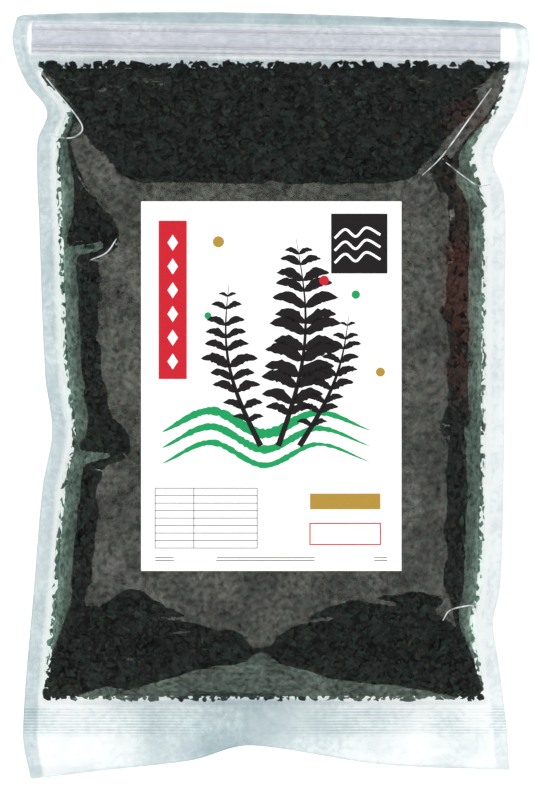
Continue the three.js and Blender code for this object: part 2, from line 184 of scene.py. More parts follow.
# The zip: tapes in the plane of the rim, with heights from that plane
ZIP_WIDTH = 18
ZIP_ENDS = (-139, 133)
ZIP_TILT = -0.0145
ZIP_CENTRE_Y = 206
RIB_TAPE = (0.9, 1.4)
RIB_TIP = -0.3
RIB_PLACES = (-4.2, 4.2)
RIB_WIDTH = 1.4
CHANNEL_TAPE = (-1.1, -0.6)
WALL_TIP = 0.6
WALL_STEP = 1.4  # from the middle of a rib to the middle of each wall beside it
WALL_WIDTH = 0.8
ZIP_CRESTS = (-8.6, -6.3, 3.4, 7.9)  # fine raised lines along the tape's face
ZIP_GROOVES = (-7.4, -3.8, 4.9)  # and fine grooves
ZIP_ROWS = 73
ZIP_COLUMNS = 46
WALL_SLOPE = 0.02  # half of the width over which a ridge's side rises
ZIP_LINE_HEIGHT = 0.3
ZIP_LINE_WIDTH = 0.45

# The wakame
FLAKE_TOP = ZIP_LINE + 1.2  # the highest flakes stand between the films, just below the zip
FLAKE_SIDES = 7
FLAKE_HALF_THICKNESS = 0.4
FLAKE_TILT = 0.28  # of a flake off the film, at random
FLAKE_SPREAD = 0.32  # of the lengths
FLAKE_WIDTH = (0.38, 0.85)  # shares of the length
FLAKE_REACH = (0.6, 1.15)  # of the corners from the middle, uneven
FLAKE_CURL = 0.22
FLAKE_CRUMPLE = 0.05
FLAKE_DEPTH = 1.3  # usual depth below the least
LEAST_DEPTH = 0.6
RAGGED_EDGE = (0.6, 2.2)  # least gap to the weld, and what the ragged edge adds
RAGGED_CELL = 7
FLAKE_TONE = (0.42, 0.24)  # usual tone and its spread
# painted backlight: flakes near the rim are drawn lighter and greener, as if lit through from below
RIM_PAINTED_BACKLIGHT = 0.4
RIM_PAINTED_BACKLIGHT_REACH = 9
STRAY_BROWN = 0.2
STRAY_SHARE = 0.03  # of flakes that are a little brown anywhere
FILM_CLEARANCE = 0.35
CORE_GRID = (100, 140)
CORE_INSET = 4.5
CORE_CLEARANCE = 4.5
CORE_HALF_THICKNESS = 0.5  # at the least
CORE_CRUMBLE = 1.2
CORE_CRUMBLE_CELL = 4.5
CORE_TONE = 0.15
RED_REFLECTION_CELL = 14  # spacing of the gaps in the brown patches of painted red reflection
RED_REFLECTION_PATCH = ((108, 66), (12, 70))  # middle and reach of the patch of reddish brown flakes, a painted red reflection
# middle and reach of a second patch of reddish brown flakes, also a painted red reflection
RED_REFLECTION_CORNER = ((116, 158), (16, 14))


def linear(colour):
    """sRGB hex value to a linear RGBA colour."""
    channels = np.array([int(colour[i:i + 2], 16) for i in (1, 3, 5)]) / 255
    value = np.where(channels <= 0.04045, channels / 12.92, ((channels + 0.055) / 1.055) ** 2.4)
    return (*value.tolist(), 1.0)


def length_property(name, description, default):
    return FloatProperty(
        name=name, description=description, default=default, unit="LENGTH", subtype="DISTANCE"
    )


def colour_property(name, description, default):
    return FloatVectorProperty(
        name=name, description=description, default=linear(default)[:3], subtype="COLOR", min=0, max=1
    )


class PouchSizes(bpy.types.PropertyGroup):
    """Sizes and counts that a user would change."""

    rim_height: length_property("Rim height", "Height of the welded rim above the surface", 0.026)
    front_rise: length_property("Front rise", "Height of the front film's plateau above the rim", 0.034)
    film_thickness: length_property("Film thickness", "Thickness of each film", 0.0002)
    flake_length: length_property("Flake length", "Usual length of a cut flake", 0.0054)
    front_flakes: IntProperty(name="Front flakes", description="Flakes under the front film", default=13500)
    back_flakes: IntProperty(name="Back flakes", description="Flakes above the back film", default=5200)
    seed: IntProperty(name="Seed", description="Start of every random draw", default=7)


class PouchColours(bpy.types.PropertyGroup):
    """Colours that a user would change."""

    film_haze: colour_property("Film haze", "What slack film lets through", "#cbd8dc")
    zip_plastic: colour_property("Zip", "Cloudy plastic of the zip", "#d3dcf0")
    paper: colour_property("Paper", "White of the label", "#fbfbfa")
    ink_black: colour_property("Black ink", "Darkest printing ink", "#1d1a1b")
    ink_green: colour_property("Green ink", "Green printing ink", "#1a9c5b")
    ink_red: colour_property("Red ink", "Red printing ink", "#c8202f")
    ink_gold: colour_property("Gold ink", "Yellow-brown printing ink", "#b08d3c")
    blade_black: colour_property("Black blade", "Darkest flakes", "#0f1413")
    blade_olive: colour_property("Olive blade", "Usual flakes", "#27322f")
    blade_green: colour_property("Green blade", "Flakes that show green", "#33493f")
    blade_brown_and_red_reflection: colour_property("Brown blade", "Reddish brown flakes", "#5f3b32")


class StageLight(bpy.types.PropertyGroup):
    """Brightness of the studio."""

    panel: FloatProperty(name="Panel", description="Radiance of the panel overhead", default=1.0)
    lamps: FloatProperty(name="Lamps", description="Radiance of the small lamps", default=6.0)
    floor: FloatProperty(name="Floor", description="Glow of the lit floor", default=0.8)
    room: FloatProperty(name="Room", description="Radiance of the room beyond the lights", default=0.08)


def through(points, at):
    """Smooth curve through (place, value) pairs: cubics whose slopes come from the points beside."""
    place, value = np.array(points, float).T
    last = len(place) - 1
    order = np.arange(last + 1)
    before = np.maximum(order - 1, 0)
    after = np.minimum(order + 1, last)
    slope = (value[after] - value[before]) / (place[after] - place[before])
    at = np.clip(at, place[0], place[-1])
    i = np.clip(np.searchsorted(place, at) - 1, 0, last - 1)
    span = place[i + 1] - place[i]
    t = (at - place[i]) / span
    back = 1 - t
    ends = (1 + 2 * t) * back**2 * value[i] + t**2 * (3 - 2 * t) * value[i + 1]
    return ends + t * back * span * (back * slope[i] - t * slope[i + 1])


def smooth_step(value, low, high):
    """Rises from 0 to 1 between low and high, level at both ends."""
    t = np.clip((value - low) / (high - low), 0, 1)
    return t * t * (3 - 2 * t)


def soft_min(a, b):
    """The lower of two heights, with the ridge between them rounded."""
    overlap = np.maximum(HIP_BLEND - np.abs(a - b), 0) / HIP_BLEND
    return np.minimum(a, b) - overlap**2 * HIP_BLEND / 4


def lumps(x, y, cell, seed):
    """Smooth random heights from -1 to 1: random values on a square lattice, eased from one to the next."""
    lattice = np.random.default_rng(seed).uniform(-1, 1, (128, 128))
    column = np.floor(x / cell).astype(int)
    row = np.floor(y / cell).astype(int)
    across = smooth_step(x / cell - column, 0, 1)
    up = smooth_step(y / cell - row, 0, 1)
    corner = [[lattice[(row + i) % 128, (column + j) % 128] for j in (0, 1)] for i in (0, 1)]
    low = corner[0][0] * (1 - across) + corner[0][1] * across
    high = corner[1][0] * (1 - across) + corner[1][1] * across
    return low * (1 - up) + high * up


def line_places(x, y, start, end):
    """Where points lie by a line: the share of the way along it, and the distance to its left."""
    run = np.subtract(end, start).astype(float)
    length = np.hypot(*run)
    along = ((x - start[0]) * run[0] + (y - start[1]) * run[1]) / length**2
    left = (run[0] * (y - start[1]) - run[1] * (x - start[0])) / length
    return along, left


def along_window(along):
    """Fades a dent or fold in and out along its line."""
    return np.sin(np.pi * np.clip(along, 0, 1)) ** 2


def fill_left(y):
    return through(LEFT_EDGE, y) + SIDE_WELD


def fill_right(y):
    return through(RIGHT_EDGE, y) - SIDE_WELD


def bulge(inset, reach):
    return 1 - np.exp(-np.maximum(inset, 0) / reach)


def beside_label(x, y):
    """0 under the label and 1 from a centimetre outside it."""
    outside = np.maximum(np.abs(x) - LABEL_WIDTH / 2, np.abs(y - LABEL_CENTRE_Y) - LABEL_HEIGHT / 2)
    return smooth_step(outside, *LABEL_MARGIN)


class PouchShape:
    """Heights of the films over any (x, y), in millimetres."""

    def __init__(self, sizes):
        self.rim = sizes.rim_height / MM
        self.rise = sizes.front_rise / MM
        self.film = sizes.film_thickness / MM
        self.seed = sizes.seed
        rng = np.random.default_rng(sizes.seed)
        middle = np.stack([rng.uniform(*span, MINOR_FOLDS) for span in MINOR_FOLD_AREA], -1)
        angle = rng.uniform(0, 2 * np.pi, MINOR_FOLDS)
        reach = rng.uniform(*MINOR_FOLD_REACH, MINOR_FOLDS)[:, None]
        half = reach * np.stack([np.cos(angle), np.sin(angle)], -1)
        width = rng.uniform(*MINOR_FOLD_WIDTH, MINOR_FOLDS)
        height = rng.uniform(-MINOR_FOLD_HEIGHT, MINOR_FOLD_HEIGHT, MINOR_FOLDS)
        self.minor_folds = list(zip(middle - half, middle + half, width, height))

    def dents(self, x, y):
        """Depth of the large dents: deepest along each line, fading to both sides as a bell curve."""
        depth = np.zeros_like(x)
        for start, end, left_width, right_width, full in DENTS:
            along, left = line_places(x, y, start, end)
            width = np.where(left > 0, left_width, right_width)
            depth += full * along_window(along) * np.exp(-((left / width) ** 2))
        return depth

    def smooth_rise(self, x, y):
        """The front film above the rim: the lowest of its side bulges, its ramp to the zip, its corner facets
        and its foot slopes, less the dents."""
        from_zip = ZIP_LINE - y
        from_foot = y - FOOT_LINE
        sides = self.rise * bulge(soft_min(x - fill_left(y), fill_right(y) - x), SIDE_REACH)
        corners = [CORNER_ACROSS * np.abs(x - start) + CORNER_ALONG * from_zip for start in CORNER_START]
        steep = through(FOOT_STEEP_WIDTH, x)
        shallow = FOOT_STEEP * steep + FOOT_SHALLOW * (from_foot - steep)
        foot = soft_min(FOOT_STEEP * from_foot, shallow)
        ends = soft_min(soft_min(TOP_SLOPE * from_zip, soft_min(*corners)), foot)
        rise = np.maximum(soft_min(sides, ends), 0)
        return rise - np.minimum(self.dents(x, y), rise * DENT_LIMIT)

    def folds(self, x, y):
        """Folds as tents with flat slopes and a rounded crest, and lumps that the flakes press out."""
        height = LUMP_HEIGHT * lumps(x, y, LUMP_CELL, self.seed)
        height += 0.5 * LUMP_HEIGHT * lumps(x, y, LUMP_CELL / 2, self.seed + 1)
        for start, end, width, full in FOLDS + self.minor_folds:
            along, left = line_places(x, y, start, end)
            tent = np.clip(1 - np.hypot(left, FOLD_CREST) / width, 0, 1)
            height += full * tent * along_window(along)
        return height

    def parting(self, x, y):
        """The films stay parted round the zip, and meet along the side welds and at the mouth."""
        side = np.minimum(x - fill_left(y), fill_right(y) - x)
        mouth = smooth_step(through(TOP_EDGE, x) - y, 0, LIP)
        ramp = smooth_step(y, ZIP_LINE - PARTING_RUN, ZIP_LINE)
        return PARTING * smooth_step(side, -PARTING_SIDE, 0) * mouth * ramp

    def rim_level(self, x, y):
        """Height of the rim: level, but for the flap below the foot weld, which droops and has one wave."""
        out = np.clip((FOOT_LINE - y) / FLAP_LENGTH, 0, 1) ** 2
        wave = FLAP_WAVE_LIFT * np.exp(-(((x - FLAP_WAVE_CENTRE) / FLAP_WAVE_WIDTH) ** 2))
        return self.rim + out * (wave - FLAP_DROOP)

    def front(self, x, y, folded=True):
        """Middle of the front film. The folds fade out towards the rim and under the label."""
        rise = self.smooth_rise(x, y)
        if folded:
            rise = rise + self.folds(x, y) * beside_label(x, y) * smooth_step(rise, 0, FOLD_FADE)
        return self.rim_level(x, y) + FILM_HALF_STEP + rise + self.parting(x, y)

    def back(self, x, y):
        """Middle of the back film: it leaves the welds in a bulge and lies flat on the surface."""
        sides = soft_min(x - fill_left(y), fill_right(y) - x)
        inset = soft_min(sides, soft_min(ZIP_LINE - y, y - FOOT_LINE))
        drop = self.rim * BACK_PRESS * bulge(inset, BACK_REACH)
        level = self.rim_level(x, y) - FILM_HALF_STEP - drop - self.parting(x, y)
        return np.maximum(level, self.film / 2)


def steps(count, closer=0.0):
    """Shares from 0 to 1, closer together near both ends by the given share."""
    even = np.linspace(0, 1, count)
    return even * (1 - closer) + (0.5 - 0.5 * np.cos(np.pi * even)) * closer


def outline_grid(columns, rows):
    """(x, y) over the whole outline: shares across and up, refined until all four edges are met."""
    across, up = np.meshgrid(steps(columns, OUTLINE_CLOSER[0]), steps(rows, OUTLINE_CLOSER[1]))
    y = FOOT_LINE + (ZIP_LINE - FOOT_LINE) * up
    for _ in range(OUTLINE_ROUNDS):
        x = through(LEFT_EDGE, y) * (1 - across) + through(RIGHT_EDGE, y) * across
        y = through(FOOT_EDGE, x) * (1 - up) + through(TOP_EDGE, x) * up
    return x, y


def fill_grid(columns, rows, inset):
    """(x, y) over the fill, this far inside the welds."""
    across, up = np.meshgrid(steps(columns, FILL_CLOSER[0]), steps(rows, FILL_CLOSER[1]))
    y = (FOOT_LINE + inset) * (1 - up) + (ZIP_LINE - inset) * up
    x = (fill_left(y) + inset) * (1 - across) + (fill_right(y) - inset) * across
    return x, y


def slab(upper, lower):
    """Closed solid between two like grids of points: both faces, and a strip round their edges."""
    rows, columns = upper.shape[:2]
    index = np.arange(rows * columns).reshape(rows, columns)
    a, b, c, d = index[:-1, :-1], index[:-1, 1:], index[1:, 1:], index[1:, :-1]
    face = np.concatenate([np.stack([a, b, c], -1).reshape(-1, 3), np.stack([a, c, d], -1).reshape(-1, 3)])
    edge = np.concatenate([index[0, :-1], index[:-1, -1], index[-1, :0:-1], index[:0:-1, 0]])
    ahead = np.roll(edge, -1)
    under = rows * columns
    strip = [np.stack([edge, edge + under, ahead + under], -1), np.stack([edge, ahead + under, ahead], -1)]
    vertices = np.concatenate([upper.reshape(-1, 3), lower.reshape(-1, 3)])
    return vertices, np.concatenate([face, face[:, ::-1] + under, *strip])


def unit(vectors):
    return vectors / np.linalg.norm(vectors, axis=-1, keepdims=True)


def sheet(x, y, z, thickness):
    """Closed sheet: the surface moved half its thickness along its normal to either side."""
    middle = np.stack([x, y, z], -1)
    normal = unit(np.cross(np.gradient(middle, axis=1), np.gradient(middle, axis=0)))
    return slab(middle + normal * thickness / 2, middle - normal * thickness / 2)


def join(solids):
    """Several (vertices, triangles) as one."""
    counts = np.cumsum([0] + [len(vertices) for vertices, _ in solids])
    triangles = [corners + start for (_, corners), start in zip(solids, counts)]
    return np.concatenate([vertices for vertices, _ in solids]), np.concatenate(triangles)


def tube(path, radius, sides=6):
    """Closed tube along a path in space: a ring round each of its points, and a point at each end."""
    along = unit(np.gradient(path, axis=0))
    across = unit(np.cross(along, (0.0, 0.0, 1.0)))
    up = np.cross(across, along)
    angle = np.linspace(0, 2 * np.pi, sides, endpoint=False)
    ring = np.cos(angle)[:, None] * across[:, None] + np.sin(angle)[:, None] * up[:, None]
    taper = np.sin(np.linspace(0.25, np.pi - 0.25, len(path)))[:, None, None] ** 0.5
    rings = path[:, None] + ring * radius * taper
    index = np.arange(len(path) * sides).reshape(len(path), sides)
    beside = np.roll(index, -1, axis=1)
    a, b, c, d = index[:-1], beside[:-1], beside[1:], index[1:]
    start = index.size
    wall = [np.stack([a, b, c], -1).reshape(-1, 3), np.stack([a, c, d], -1).reshape(-1, 3)]
    first = np.stack([np.full(sides, start), beside[0], index[0]], -1)
    last = np.stack([np.full(sides, start + 1), index[-1], beside[-1]], -1)
    vertices = np.concatenate([rings.reshape(-1, 3), path[:1], path[-1:]])
    return vertices, np.concatenate([*wall, first, last])


def add_piece(name, solid, material, attributes=None, smooth=True):
    """Puts a closed triangle mesh, in millimetres, into the scene as a piece that rides on the pouch."""
    vertices, triangles = solid
    mesh = bpy.data.meshes.new(name)
    mesh.vertices.add(len(vertices))
    mesh.vertices.foreach_set("co", (vertices * MM).astype(np.float32).ravel())
    mesh.loops.add(triangles.size)
    mesh.loops.foreach_set("vertex_index", triangles.astype(np.int32).ravel())
    mesh.polygons.add(len(triangles))
    mesh.polygons.foreach_set("loop_start", np.arange(0, triangles.size, 3, dtype=np.int32))
    mesh.polygons.foreach_set("use_smooth", np.full(len(triangles), smooth))
    mesh.update(calc_edges=True)
    for key, values in (attributes or {}).items():
        layer = mesh.attributes.new(key, "FLOAT", "POINT")
        layer.data.foreach_set("value", np.asarray(values, np.float32).ravel())
    mesh.materials.append(material)
    piece = bpy.data.objects.new(name, mesh)
    bpy.context.scene.collection.objects.link(piece)
    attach(piece, ROOT)
    return piece


def add_node(tree, kind, inputs=None, **settings):
    """Adds a node with its settings. Each input is given a value, or a link where the value is a socket."""
    node = tree.nodes.new(kind)
    for key, value in settings.items():
        setattr(node, key, value)
    for key, value in (inputs or {}).items():
        if isinstance(value, bpy.types.NodeSocket):
            tree.links.new(value, node.inputs[key])
        else:
            node.inputs[key].default_value = value
    return node


def new_material(name):
    """A material with only an output node, its node tree and that output."""
    material = bpy.data.materials.new(name)
    material.use_nodes = True
    tree = material.node_tree
    tree.nodes.clear()
    return material, tree, add_node(tree, "ShaderNodeOutputMaterial")


def per_metre(size):
    """Scale of a noise texture whose features are this many millimetres wide."""
    return 1 / (size * MM)


def opaque(colour):
    return (*colour, 1.0)


def clear_film(colours):
    """Cast polypropylene film: clear and glossy, hazy where it is slack or welded. Where it is steep its
    gloss is tinted green, a painted green reflection. It reflects less where flakes touch it from inside,
    which makes the gloss patchy. Each face reflects its square-on share plus the rest by the fifth power of
    the slant, alike from both sides."""
    material, tree, output = new_material("Cast polypropylene film, clear")
    place = add_node(tree, "ShaderNodeTexCoord").outputs["Object"]
    haze = add_node(tree, "ShaderNodeAttribute", attribute_name="haze").outputs["Fac"]
    streaks = add_node(tree, "ShaderNodeTexNoise", {"Vector": place, "Scale": per_metre(24), "Detail": 2.0})
    uneven = add_node(
        tree, "ShaderNodeMapRange",
        {"Value": streaks.outputs["Fac"], "From Min": 0.3, "From Max": 0.7, "To Min": 0.8, "To Max": 1.15},
    )
    weld = add_node(tree, "ShaderNodeAttribute", attribute_name="weld").outputs["Fac"]
    lines = add_node(
        tree, "ShaderNodeTexWave", {"Vector": place, "Scale": per_metre(WELD_SPACING) * WAVE_PERIOD},
        bands_direction="Y",
    )
    welded = add_node(tree, "ShaderNodeMath", {0: lines.outputs["Fac"], 1: weld}, operation="MULTIPLY")
    amount = add_node(
        tree, "ShaderNodeMath", {0: haze, 1: uneven.outputs[0], 2: welded.outputs[0]},
        operation="MULTIPLY_ADD", use_clamp=True,
    )
    tint = add_node(
        tree, "ShaderNodeMix",
        {0: amount.outputs[0], 6: (1, 1, 1, 1), 7: opaque(colours.film_haze)}, data_type="RGBA",
    )
    pressed = add_node(tree, "ShaderNodeTexNoise", {"Vector": place, "Scale": per_metre(7), "Detail": 2.0})
    bump = add_node(
        tree, "ShaderNodeBump", {"Height": pressed.outputs["Fac"], "Strength": 0.12, "Distance": 0.8 * MM}
    ).outputs["Normal"]
    contact = add_node(tree, "ShaderNodeTexNoise", {"Vector": place, "Scale": per_metre(3.2), "Detail": 4.0})
    patches = add_node(tree, "ShaderNodeTexNoise", {"Vector": place, "Scale": per_metre(22), "Detail": 1.5})
    speckle = add_node(
        tree, "ShaderNodeMapRange",
        {"Value": contact.outputs["Fac"], "From Min": 0.32, "From Max": 0.68, "To Min": 0.32, "To Max": 1.36},
    )
    broad = add_node(
        tree, "ShaderNodeMapRange",
        {"Value": patches.outputs["Fac"], "From Min": 0.3, "From Max": 0.7, "To Min": 0.55, "To Max": 1.3},
    )
    strength = add_node(
        tree, "ShaderNodeMath", {0: speckle.outputs[0], 1: broad.outputs[0]}, operation="MULTIPLY"
    )
    # painted reflection: where the film is steep, its gloss is tinted green
    steep = add_node(tree, "ShaderNodeAttribute", attribute_name="steep").outputs["Fac"]
    painted_green_reflection = add_node(
        tree, "ShaderNodeMix", {0: steep, 6: linear("#fffff3"), 7: linear("#d0fde8")}, data_type="RGBA"
    )
    shine = add_node(
        tree, "ShaderNodeMix", {0: 1.0, 6: painted_green_reflection.outputs[2], 7: strength.outputs[0]}, data_type="RGBA",
        blend_type="MULTIPLY",
    )
    clear = add_node(tree, "ShaderNodeBsdfTransparent", {"Color": tint.outputs[2]})
    gloss = add_node(
        tree, "ShaderNodeBsdfGlossy", {"Color": shine.outputs[2], "Roughness": 0.05, "Normal": bump}
    )
    slant = add_node(tree, "ShaderNodeLayerWeight", {"Blend": 0.5, "Normal": bump})
    edge_on = add_node(tree, "ShaderNodeMath", {0: slant.outputs["Facing"], 1: 5.0}, operation="POWER")
    share = add_node(
        tree, "ShaderNodeMath", {0: edge_on.outputs[0], 1: 1 - FILM_REFLECTANCE, 2: FILM_REFLECTANCE},
        operation="MULTIPLY_ADD",
    )
    mixed = add_node(
        tree, "ShaderNodeMixShader", {0: share.outputs[0], 1: clear.outputs[0], 2: gloss.outputs[0]}
    )
    tree.links.new(mixed.outputs[0], output.inputs["Surface"])
    return material


def fold_line_painted_highlight():
    """Film folded over on itself, as a thin raised line painted white with a little glow: a painted
    highlight, broken into patches.
    """
    material, tree, output = new_material("Polypropylene film, folded edge, painted highlight")
    place = add_node(tree, "ShaderNodeTexCoord").outputs["Object"]
    broken = add_node(tree, "ShaderNodeTexNoise", {"Vector": place, "Scale": per_metre(6), "Detail": 2.0})
    amount = add_node(
        tree, "ShaderNodeMapRange",
        {"Value": broken.outputs["Fac"], "From Min": 0.35, "From Max": 0.65, "To Min": 0.15, "To Max": 0.85},
    )
    clear = add_node(tree, "ShaderNodeBsdfTransparent", {"Color": (0.9, 0.93, 0.94, 1)})
    white = add_node(
        tree, "ShaderNodeBsdfPrincipled",
        {
            "Base Color": linear("#eef2f3"), "Roughness": 0.15,
            # painted highlight: a pale surface that emits a little of its own colour
            "Emission Color": linear("#eef2f3"), "Emission Strength": 0.3,
        },
    )
    mixed = add_node(
        tree, "ShaderNodeMixShader", {0: amount.outputs[0], 1: clear.outputs[0], 2: white.outputs[0]}
    )
    tree.links.new(mixed.outputs[0], output.inputs["Surface"])
    return material


def zip_polyethylene(colours):
    """Extruded polyethylene: cloudy and see-through, with fine lines along it from the die. Its fine crests
    are painted lighter and its fine grooves darker, as painted highlight and painted shade, and it has a
    painted glow of its own colour."""
    material, tree, output = new_material("Extruded polyethylene zip, cloudy")
    place = add_node(tree, "ShaderNodeTexCoord").outputs["Object"]
    stretched = add_node(tree, "ShaderNodeMapping", {"Vector": place, "Scale": (0.02, 1, 1)})
    lines = add_node(
        tree, "ShaderNodeTexNoise", {"Vector": stretched.outputs[0], "Scale": per_metre(1.6), "Detail": 3.0}
    )
    shade = add_node(
        tree, "ShaderNodeMapRange",
        {"Value": lines.outputs["Fac"], "From Min": 0.35, "From Max": 0.65, "To Min": -0.18, "To Max": 0.18},
    )
    # painted highlight and painted shade: fine crests are drawn lighter and fine grooves darker
    crest = add_node(tree, "ShaderNodeAttribute", attribute_name="crest").outputs["Fac"]
    level = add_node(tree, "ShaderNodeMath", {0: crest, 1: shade.outputs[0]}, operation="ADD")
    share = add_node(
        tree, "ShaderNodeMapRange", {"Value": level.outputs[0], "From Min": -1.0, "From Max": 1.0}
    )
    ramp = add_node(tree, "ShaderNodeValToRGB", {"Fac": share.outputs[0]})
    stops = ramp.color_ramp.elements
    stops[0].color = linear("#6d7482")
    stops[1].color = linear("#ffffff")
    stops.new(0.5).color = opaque(colours.zip_plastic)
    body = add_node(
        tree, "ShaderNodeBsdfPrincipled",
        {
            "Base Color": ramp.outputs["Color"], "Roughness": 0.35, "IOR": 1.51,
            # painted glow: the zip emits a little of its own colour
            "Emission Color": ramp.outputs["Color"], "Emission Strength": 0.2,
        },
    )
    see_through = add_node(tree, "ShaderNodeBsdfTransparent", {"Color": (0.975, 0.98, 0.99, 1)})
    mixed = add_node(tree, "ShaderNodeMixShader", {0: 0.17, 1: see_through.outputs[0], 2: body.outputs[0]})
    tree.links.new(mixed.outputs[0], output.inputs["Surface"])
    return material


def printed_paper(name, colour, roughness):
    """Coated paper or the ink on it: matt and even, with faint fibres. It has a painted glow: a little
    emission of its own colour.
    """
    material, tree, output = new_material(name)
    place = add_node(tree, "ShaderNodeTexCoord").outputs["Object"]
    fibres = add_node(tree, "ShaderNodeTexNoise", {"Vector": place, "Scale": per_metre(0.9), "Detail": 4.0})
    shade = add_node(
        tree, "ShaderNodeMapRange",
        {"Value": fibres.outputs["Fac"], "From Min": 0.3, "From Max": 0.7, "To Min": 0.93, "To Max": 1.0},
    )
    tone = add_node(
        tree, "ShaderNodeMix", {0: 1.0, 6: opaque(colour), 7: shade.outputs[0]},
        data_type="RGBA", blend_type="MULTIPLY",
    )
    bump = add_node(
        tree, "ShaderNodeBump", {"Height": fibres.outputs["Fac"], "Strength": 0.15, "Distance": 0.05 * MM}
    )
    paper = add_node(
        tree, "ShaderNodeBsdfPrincipled",
        {
            "Base Color": tone.outputs[2], "Roughness": roughness, "Normal": bump.outputs[0],
            "Specular IOR Level": 0.12,
            # painted glow: the paper and the inks emit a little of their own colour
            "Emission Color": tone.outputs[2], "Emission Strength": 0.62,
        },
    )
    tree.links.new(paper.outputs[0], output.inputs["Surface"])
    return material


def dried_blade(colours):
    """Dried seaweed blade, cut: leathery and wrinkled, from blackish green to olive, or reddish brown. The
    green near the rim is painted backlight and the reddish brown patches are a painted red reflection.
    """
    material, tree, output = new_material("Dried wakame blade, cut")
    place = add_node(tree, "ShaderNodeTexCoord").outputs["Object"]
    tone = add_node(tree, "ShaderNodeAttribute", attribute_name="tone").outputs["Fac"]
    brown = add_node(tree, "ShaderNodeAttribute", attribute_name="brown").outputs["Fac"]
    ramp = add_node(tree, "ShaderNodeValToRGB", {"Fac": tone})
    stops = ramp.color_ramp.elements
    stops[0].color = opaque(colours.blade_black)
    stops[1].color = opaque(colours.blade_green)
    stops.new(0.55).color = opaque(colours.blade_olive)
    browned = add_node(
        tree, "ShaderNodeMix", {0: brown, 6: ramp.outputs["Color"], 7: opaque(colours.blade_brown_and_red_reflection)},
        data_type="RGBA",
    )
    mottle = add_node(tree, "ShaderNodeTexNoise", {"Vector": place, "Scale": per_metre(1.8), "Detail": 4.0})
    shade = add_node(
        tree, "ShaderNodeMapRange",
        {"Value": mottle.outputs["Fac"], "From Min": 0.3, "From Max": 0.7, "To Min": 0.55, "To Max": 1.25},
    )
    colour = add_node(
        tree, "ShaderNodeMix", {0: 1.0, 6: browned.outputs[2], 7: shade.outputs[0]}, data_type="RGBA",
        blend_type="MULTIPLY",
    )
    wrinkles = add_node(tree, "ShaderNodeTexNoise", {"Vector": place, "Scale": per_metre(1.1), "Detail": 3.0})
    bump = add_node(
        tree, "ShaderNodeBump", {"Height": wrinkles.outputs["Fac"], "Strength": 0.6, "Distance": 0.3 * MM}
    )
    blade = add_node(
        tree, "ShaderNodeBsdfPrincipled",
        {
            "Base Color": colour.outputs[2], "Roughness": 0.55, "IOR": 1.45, "Specular IOR Level": 0.35,
            "Normal": bump.outputs[0],
        },
    )
    tree.links.new(blade.outputs[0], output.inputs["Surface"])
    return material


def film_haze(x, y):
    """How hazy the film is: clear over the fill and the zip, hazy in the header, side welds and flap."""
    side = np.minimum(x - fill_left(y), fill_right(y) - x)
    border = 1 - smooth_step(side, -2.5, 0.5)
    sides = border * np.where(x < 0, *SIDE_HAZE)
    zip_top = ZIP_CENTRE_Y + ZIP_WIDTH / 2 + ZIP_TILT * x
    header = HEADER_HAZE * smooth_step(y - zip_top, -0.5, 1)
    under_zip = 1 - smooth_step(y - zip_top + ZIP_WIDTH, -1, 0)
    below_zip = BELOW_ZIP_HAZE * smooth_step(y, ZIP_LINE - 8, ZIP_LINE - 4) * under_zip
    flap = 1 - smooth_step(y, FOOT_LINE + 1, FOOT_LINE + 5)
    middle = FLAP_MIDDLE_HAZE * np.exp(-(((x - FLAP_WAVE_CENTRE) / FLAP_MIDDLE_WIDTH) ** 2))
    slack = FLAP_HAZE + middle + FLAP_PATCH_HAZE * lumps(x, y, FLAP_PATCH, 3)
    hem = HEM_HAZE * (1 - smooth_step(y - through(FOOT_EDGE, x), 0.4, 1.6))
    return np.maximum.reduce([sides, header, below_zip, flap * slack, hem])


def steepness(x, y, z):
    """0 where the film leans less than 35 degrees and 1 where it leans more than 50 degrees."""
    middle = np.stack([x, y, z], -1)
    normal = unit(np.cross(np.gradient(middle, axis=1), np.gradient(middle, axis=0)))
    return 1 - smooth_step(normal[..., 2], np.cos(np.radians(50)), np.cos(np.radians(35)))


def foot_weld(x, y):
    """How clear the fine weld lines below the fill are: patchy along the foot, and faint at its middle."""
    fade_in, full, fade_out, end = (FOOT_LINE + step for step in WELD_STRIP)
    strip = smooth_step(y, fade_in, full) * (1 - smooth_step(y, fade_out, end))
    place, width = WELD_MIDDLE
    faint = np.exp(-(((x - place) / width) ** 2))
    patchy = WELD_LINES + WELD_PATCH_LINES * (lumps(x, y, WELD_PATCH, 5) - faint)
    return strip * np.maximum(patchy, 0.02)


def label_height(shape, x, y):
    return shape.front(x, y, folded=False) + LABEL_RISE


def stroke(path, half_widths, columns=3):
    """(x, y) grid of a printed stroke: a centre line with a half width at each of its points."""
    path = np.asarray(path, float)
    along = unit(np.gradient(path, axis=0))
    right = np.stack([along[:, 1], -along[:, 0]], -1)
    share = np.linspace(-1, 1, columns)
    half = np.broadcast_to(half_widths, len(path))
    return path[:, None] + right[:, None] * (half[:, None] * share)[..., None]


def curve(points, count):
    """Smooth line through a few (x, y) points."""
    at = np.linspace(0, len(points) - 1, count)
    order = range(len(points))
    return np.stack([through(list(zip(order, axis)), at) for axis in zip(*points)], -1)


def rectangle(left, low, right, high):
    """A filled rectangle as one wide stroke."""
    middle = (left + right) / 2
    path = [(middle, level) for level in np.linspace(low, high, 12)]
    return stroke(path, (right - left) / 2, 9)


def brush(points, width, rng, count=48):
    """A brush stroke: it swells from a thin start, thins to its end and has slightly ragged sides."""
    share = np.linspace(0, 1, count)
    swell = np.sin(np.pi * share**0.8) ** 0.7
    ragged = 1 + 0.12 * rng.standard_normal(count)
    return stroke(curve(points, count), np.maximum(width / 2 * swell * ragged, 0.1))


